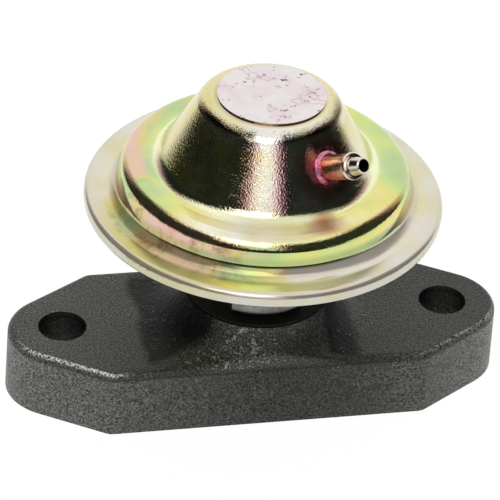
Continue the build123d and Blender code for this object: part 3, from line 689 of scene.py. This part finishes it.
bright = new_finish("copper_bright_plate", Metallic=1.0)
at = place_on(bright)
from_root = put(bright, "VectorMath", {0: at, 1: NIPPLE_ROOT}, operation="SUBTRACT")
out = along(bright, from_root, NIPPLE_OUT)
up = along(bright, from_root, NIPPLE_UP)
hue = grain(bright, at, 500, 3.0)
# painted light and shade: the body is pale gold on its upper side and darker orange underneath
body = over(bright, between(bright, up, -0.0022, 0.0012), colour("e88252"), colour("f6dca8"))
body = over(bright, between(bright, hue, 0.45, 0.65, 0.0, 0.5), body, colour("c8788c"))
plated = over(bright, between(bright, out, 0.0072, 0.0077), body, colour("f4e0d4"))
plated = over(bright, between(bright, out, 0.0088, 0.0092), plated, colour("d8d4c8"))
coat(bright, Base_Color=plated)
coat(bright, Roughness=between(bright, grain(bright, at, 1500), 0.3, 0.7, 0.14, 0.24))
coat(bright, Normal=relief(bright, grain(bright, at, 2500), 0.00001))
dress("vacuum_nipple", bright)
braze = new_finish("copper_braze", Metallic=1.0)
at = place_on(braze)
lumps = grain(braze, at, 1300, 3.0, 0.6)
coat(braze, Base_Color=over(braze, between(braze, lumps, 0.35, 0.65), colour("a83a6a"), colour("e6a4b8")))
coat(braze, Roughness=between(braze, lumps, 0.3, 0.7, 0.2, 0.4), Normal=relief(braze, lumps, 0.00008))
dress("nipple_collar", braze)

# ---- floor, light and camera ----------------------------------------------------------------
# A white sweep and an even white sky, with a dark strip of room round the horizon that gives
# the polished zinc its dark reflections, and one bright opening in front.
OPENING_HEADING = -13.0
ROOM_HEADING = -19.0
bpy.ops.mesh.primitive_plane_add(size=6.0, location=(0, 0, -0.00005))
floor = bpy.context.object
floor.name = "floor"
paper = new_finish("white_paper", Roughness=0.9, Base_Color=(0.88, 0.88, 0.88, 1))
tree = paper.node_tree
seen = tree.nodes.new("ShaderNodeLightPath")
glow = tree.nodes.new("ShaderNodeEmission")
reflected = sums(paper, "MAXIMUM", seen.outputs["Is Glossy Ray"], seen.outputs["Is Transmission Ray"])
across = axes_of(paper, place_on(paper))
paper_heading = sums(paper, "ARCTAN2", across[0], product(paper, across[1], -1.0))
off_room = apart(paper, paper_heading, radians(ROOM_HEADING))
ends = between(paper, reach(paper, place_on(paper)), 0.42, 0.8)
ends = product(paper, ends, between(paper, off_room, radians(136), radians(126)), reflected)
tree.links.new(between(paper, ends, 0.0, 1.0, 1.03, 0.015), glow.inputs["Strength"])
share = product(paper, sums(paper, "MAXIMUM", seen.outputs["Is Camera Ray"], reflected), 0.95)
joined = tree.nodes.new("ShaderNodeMixShader")
tree.links.new(share, joined.inputs[0])
tree.links.new(tree.nodes["Principled BSDF"].outputs[0], joined.inputs[1])
tree.links.new(glow.outputs[0], joined.inputs[2])
tree.links.new(joined.outputs[0], tree.nodes["Material Output"].inputs["Surface"])
floor.data.materials.append(paper)

room = bpy.data.worlds.new("studio")
room.use_nodes = True
bpy.context.scene.world = room
way = room.node_tree.nodes.new("ShaderNodeTexCoord").outputs["Generated"]
dx, dy, dz = axes_of(room, way)
heading = product(room, sums(room, "ARCTAN2", dx, product(room, dy, -1.0)), 180 / pi)
off_opening = apart(room, heading, OPENING_HEADING)
off_room = apart(room, heading, ROOM_HEADING)
strip = product(room, between(room, dz, 0.83, 0.76), between(room, off_room, 140.0, 117.0))
sides = product(room, between(room, off_opening, 16.5, 19.0), strip)
low = product(room, between(room, dz, 0.24, 0.13), between(room, off_room, 136.0, 126.0))
tint = product(room, between(room, off_opening, 11.5, 16.0), strip)
sky = over(room, tint, (1.0, 1.0, 1.0, 1), (0.85, 0.28, 0.5, 1))
sky = over(room, sums(room, "MAXIMUM", sides, low), sky, (0.011, 0.015, 0.013, 1))
plain = room.node_tree.nodes.new("ShaderNodeLightPath")
back = room.node_tree.nodes["Background"]
seen_sky = over(room, plain.outputs["Is Camera Ray"], sky, (1, 1, 1, 1))
room.node_tree.links.new(seen_sky, back.inputs["Color"])

lamp_data = bpy.data.lights.new("front_softbox", "AREA")
lamp_data.energy = 1.2
lamp_data.size = 0.5
lamp = bpy.data.objects.new("front_softbox", lamp_data)
bpy.context.scene.collection.objects.link(lamp)
lamp.location = (-0.25, -0.5, 0.7)
lamp.rotation_mode = "QUATERNION"
lamp.rotation_quaternion = (lamp.location - Vector((0, 0, 0.03))).to_track_quat("Z", "Y")

camera_data = bpy.data.cameras.new("camera")
camera_data.lens = 216.0
camera_data.sensor_width = 36.0
camera = bpy.data.objects.new("camera", camera_data)
bpy.context.scene.collection.objects.link(camera)
bpy.context.scene.camera = camera
AIM = Vector((-0.002, 0, 0.0321))
DISTANCE = 0.64
azimuth, elevation, lean = radians(-13.45), radians(35.41), radians(4.14)
level = cos(elevation)
backwards = Vector((sin(azimuth) * level, -cos(azimuth) * level, sin(elevation)))
camera.location = AIM + DISTANCE * backwards
camera.rotation_mode = "QUATERNION"
camera.rotation_quaternion = (-backwards).to_track_quat("-Z", "Y") @ Quaternion((0, 0, 1), lean)
camera_data.clip_start = 0.01
camera_data.clip_end = 20.0

bpy.context.scene.view_settings.view_transform = "Standard"
